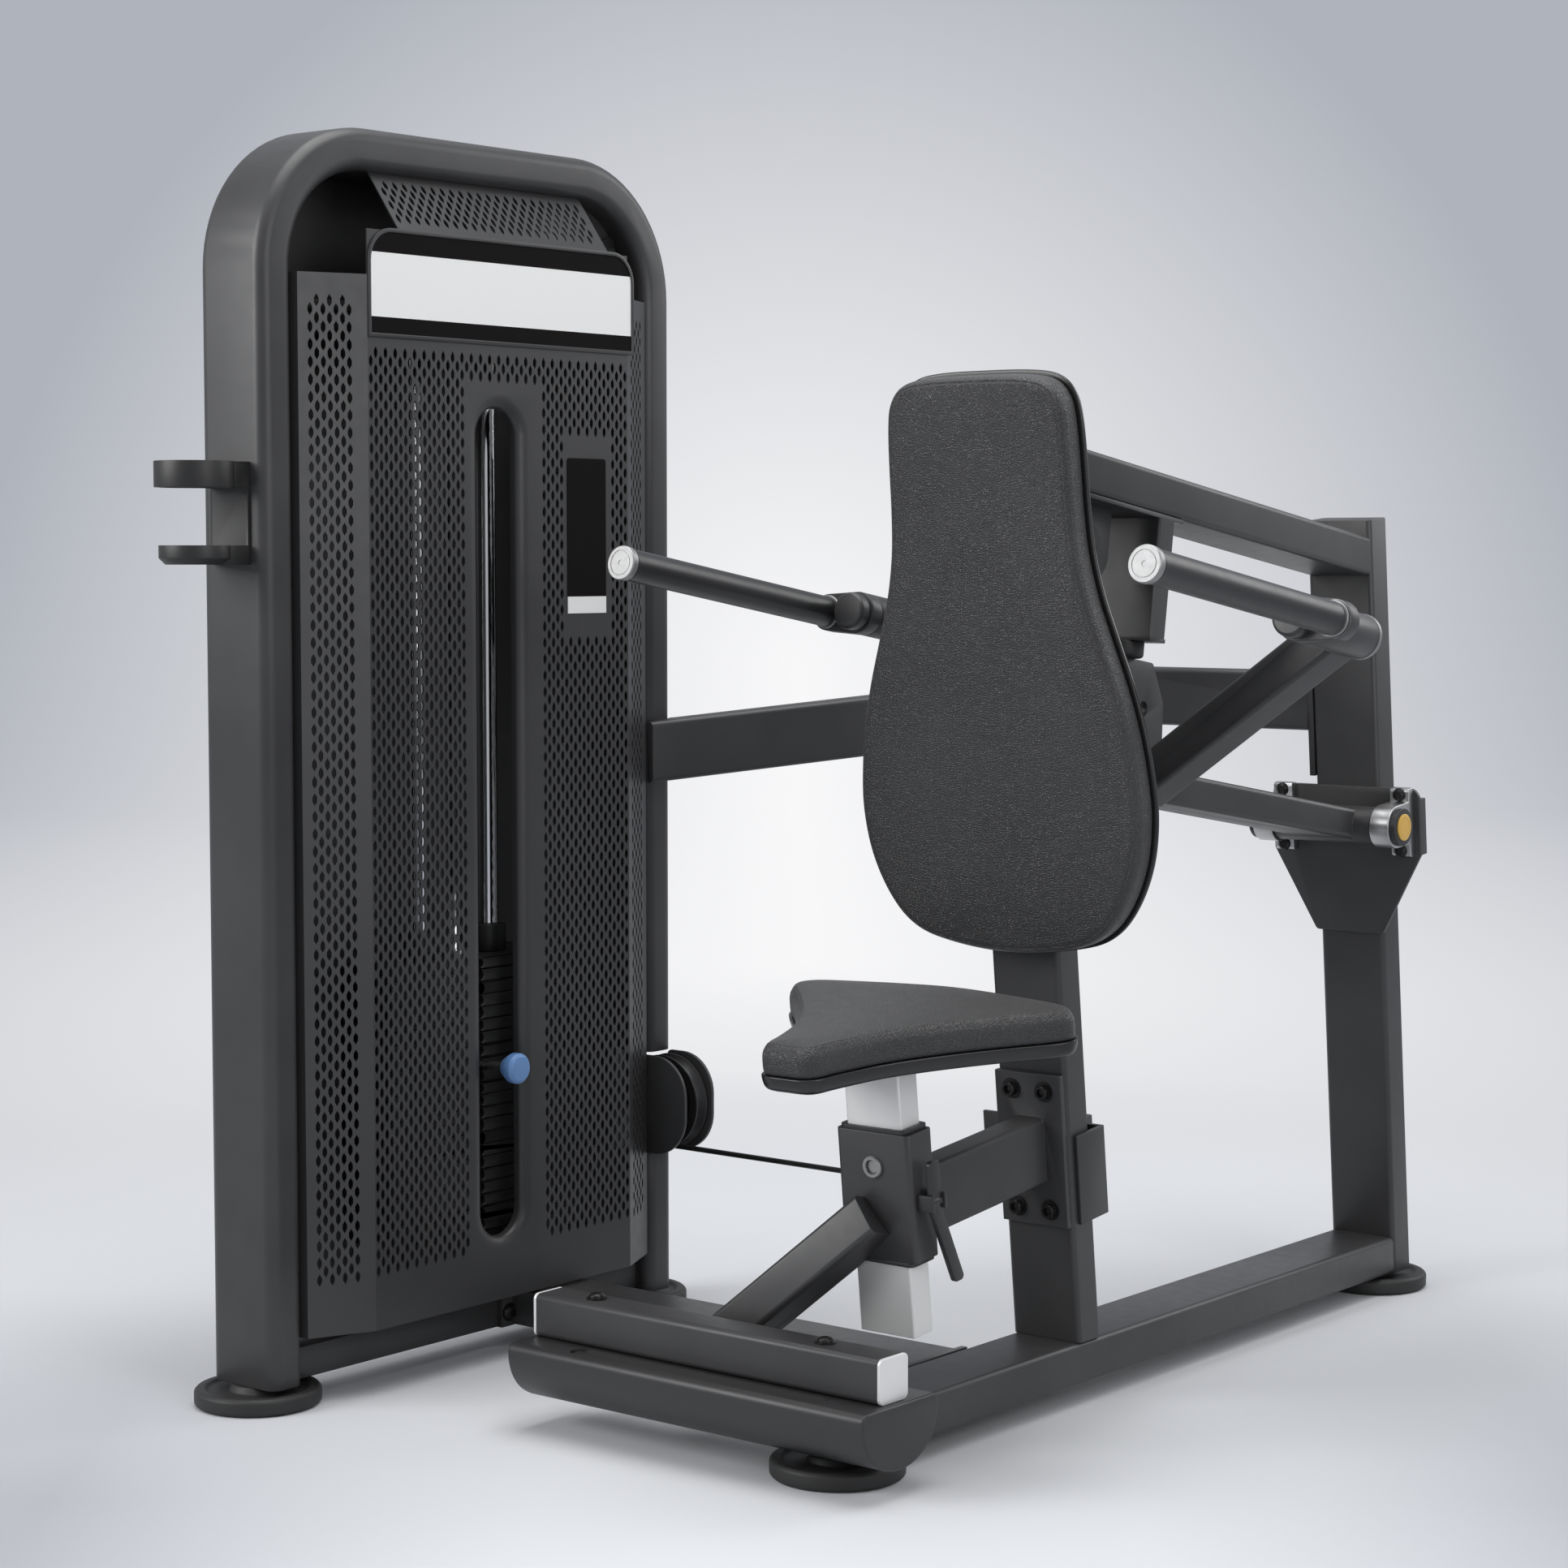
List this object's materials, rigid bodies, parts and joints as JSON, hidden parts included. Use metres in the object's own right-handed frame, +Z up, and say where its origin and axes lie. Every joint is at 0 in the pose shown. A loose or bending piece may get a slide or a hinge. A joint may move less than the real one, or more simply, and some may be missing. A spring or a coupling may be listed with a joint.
{
  "type": "seated dip machine",
  "caption": "Selectorised seated dip press: weight tower, padded seat and back, swivelling press handles on a pivoting yoke arm, adjustable seat.",
  "frame": {"origin": "on the floor at the centre of the front foot, on the seat's centre plane", "axes": "+Z up, -Y towards the foot rest (the user's front), +X away from the weight tower"},
  "size_m": [1.173, 1.5873, 1.503],
  "materials": {
    "frame_paint": "satin silver powder coat",
    "seat_tube": "plain silver",
    "guard_sheet": "silver perforated sheet",
    "panels": "plain",
    "cup": "black",
    "foot_rubber": "black",
    "weights": "black",
    "rods": "polished",
    "pin_knob": "blue knob",
    "pulley_nylon": "black nylon",
    "brackets": "satin silver powder coat",
    "cable": "black jacket",
    "cable_end": "zinc",
    "bearing": "brushed",
    "axle": "black caps on a steel axle",
    "housing": "black moulding",
    "trim": "black",
    "pad": "black leatherette",
    "shell": "black shell",
    "grip": "black grip",
    "crank": "black",
    "bolts": "zinc"
  },
  "bodies": {
    "frame": {"feet": "foot_rubber", "base_rail": "frame_paint", "rear_upright": "frame_paint", "upper_beam": "frame_paint", "seat_column": "frame_paint", "gusset_plate": "frame_paint", "pillow_blocks": "bearing", "pivot_axle": "axle", "tower_frame": "frame_paint", "guide_rods": "rods", "stack_cushions": "foot_rubber", "resting_plates": "weights", "front_shroud": "guard_sheet", "slot_bezel": "guard_sheet", "shroud_hood": "guard_sheet", "rear_cover": "guard_sheet", "guard_panels": "panels", "cup_holder": "cup", "tower_pulley_plates": "brackets", "column_pulley_bracket": "brackets", "upper_pulley_bracket": "brackets", "cable_run": "cable", "cable_stack_run": "cable", "cable_arm_run": "cable", "hanger": "frame_paint", "bumper": "foot_rubber", "front_housing": "housing", "foot_rest": "frame_paint", "foot_rest_ends": "frame_paint", "seat_bracket": "frame_paint", "post_sleeve": "frame_paint", "sleeve_trim": "trim", "seat_brace": "frame_paint", "back_shell": "shell", "back_pad": "pad", "cross_tube": "frame_paint", "rear_tie": "frame_paint", "frame_bolts": "bolts"},
    "arm": {"arm_tube": "frame_paint", "yoke_bars": "frame_paint", "pivot_housings": "frame_paint", "stop_lug": "frame_paint"},
    "fork": {"cable_fork": "cable_end"},
    "right_handle": {"crank_right": "crank", "grip_right": "grip"},
    "left_handle": {"crank_left": "crank", "grip_left": "grip"},
    "stack": {"head_plate": "weights", "lifted_plates": "weights", "selector_stem": "rods"},
    "pin": {"selector_pin": "pin_knob"},
    "seat": {"seat_post": "seat_tube", "seat_pan": "shell", "seat_pad": "pad"},
    "lever": {"seat_lever": "trim"},
    "tower_low_wheel": {"tower_low_pulley": "pulley_nylon"},
    "column_low_wheel": {"column_low_pulley": "pulley_nylon"},
    "upper_wheel": {"upper_pulley": "pulley_nylon"},
    "top_stack_wheel": {"top_pulley_stack": "pulley_nylon"},
    "top_rear_wheel": {"top_pulley_rear": "pulley_nylon"}
  },
  "joints": [
    {"name": "arm_pivot", "type": "hinge", "parent": "frame", "child": "arm", "pos_m": [0, 1.065, 0.645], "axis": [1, 0, 0], "range_deg": [0, 25], "deforming": ["cable_arm_run"]},
    {"name": "fork_swing", "type": "hinge", "parent": "arm", "child": "fork", "pos_m": [0, 0.47463, 0.8], "axis": [1, 0, 0], "range_deg": [-26, 0]},
    {"name": "right_handle_swivel", "type": "hinge", "parent": "arm", "child": "right_handle", "pos_m": [0.31, 0.45394, 0.9272], "axis": [0, -0.9874, 0.1582], "range_deg": [0, 180]},
    {"name": "left_handle_swivel", "type": "hinge", "parent": "arm", "child": "left_handle", "pos_m": [-0.31, 0.45394, 0.9272], "axis": [0, 0.9874, -0.1582], "range_deg": [0, 180]},
    {"name": "stack_lift", "type": "slide", "parent": "frame", "child": "stack", "axis": [0, 0, 1], "range_m": [0, 0.27], "deforming": ["cable_stack_run"]},
    {"name": "pin_pull", "type": "slide", "parent": "stack", "child": "pin", "axis": [1, 0, 0], "range_m": [0, 0.09]},
    {"name": "seat_slide", "type": "slide", "parent": "frame", "child": "seat", "axis": [0, -0.1089, 0.9941], "range_m": [-0.02, 0.1]},
    {"name": "seat_lever_rock", "type": "hinge", "parent": "frame", "child": "lever", "pos_m": [0.064, 0.09016, 0.29536], "axis": [0, -0.9941, -0.1089], "range_deg": [0, 11], "stiffness_Nm_per_rad": 1, "springref_deg": -8.59},
    {"name": "tower_low_wheel_turn", "type": "hinge", "parent": "frame", "child": "tower_low_wheel", "pos_m": [-0.663, 0.47, 0.279], "axis": [0, -1, 0], "range_deg": [0, 270]},
    {"name": "column_low_wheel_turn", "type": "hinge", "parent": "frame", "child": "column_low_wheel", "pos_m": [-0.057, 0.46317, 0.27887], "axis": [0, -0.9941, -0.1089], "range_deg": [0, 270]},
    {"name": "upper_wheel_turn", "type": "hinge", "parent": "frame", "child": "upper_wheel", "pos_m": [0, 0.42963, 0.9985], "axis": [-1, 0, 0], "range_deg": [0, 340]},
    {"name": "top_stack_wheel_turn", "type": "hinge", "parent": "frame", "child": "top_stack_wheel", "pos_m": [-0.72, 0.185, 1.364], "axis": [-1, 0, 0], "range_deg": [0, 340]},
    {"name": "top_rear_wheel_turn", "type": "hinge", "parent": "frame", "child": "top_rear_wheel", "pos_m": [-0.72, 0.425, 1.364], "axis": [-1, 0, 0], "range_deg": [0, 340]}
  ],
  "couplings": [
    {"joint": "stack_lift", "follows": "arm_pivot", "m_per_rad": 0.6},
    {"joint": "fork_swing", "follows": "arm_pivot", "ratio": -1},
    {"joint": "tower_low_wheel_turn", "follows": "arm_pivot", "ratio": 10.526},
    {"joint": "column_low_wheel_turn", "follows": "arm_pivot", "ratio": 10.526},
    {"joint": "upper_wheel_turn", "follows": "arm_pivot", "ratio": 13.333},
    {"joint": "top_stack_wheel_turn", "follows": "arm_pivot", "ratio": 13.333},
    {"joint": "top_rear_wheel_turn", "follows": "arm_pivot", "ratio": 13.333}
  ]
}
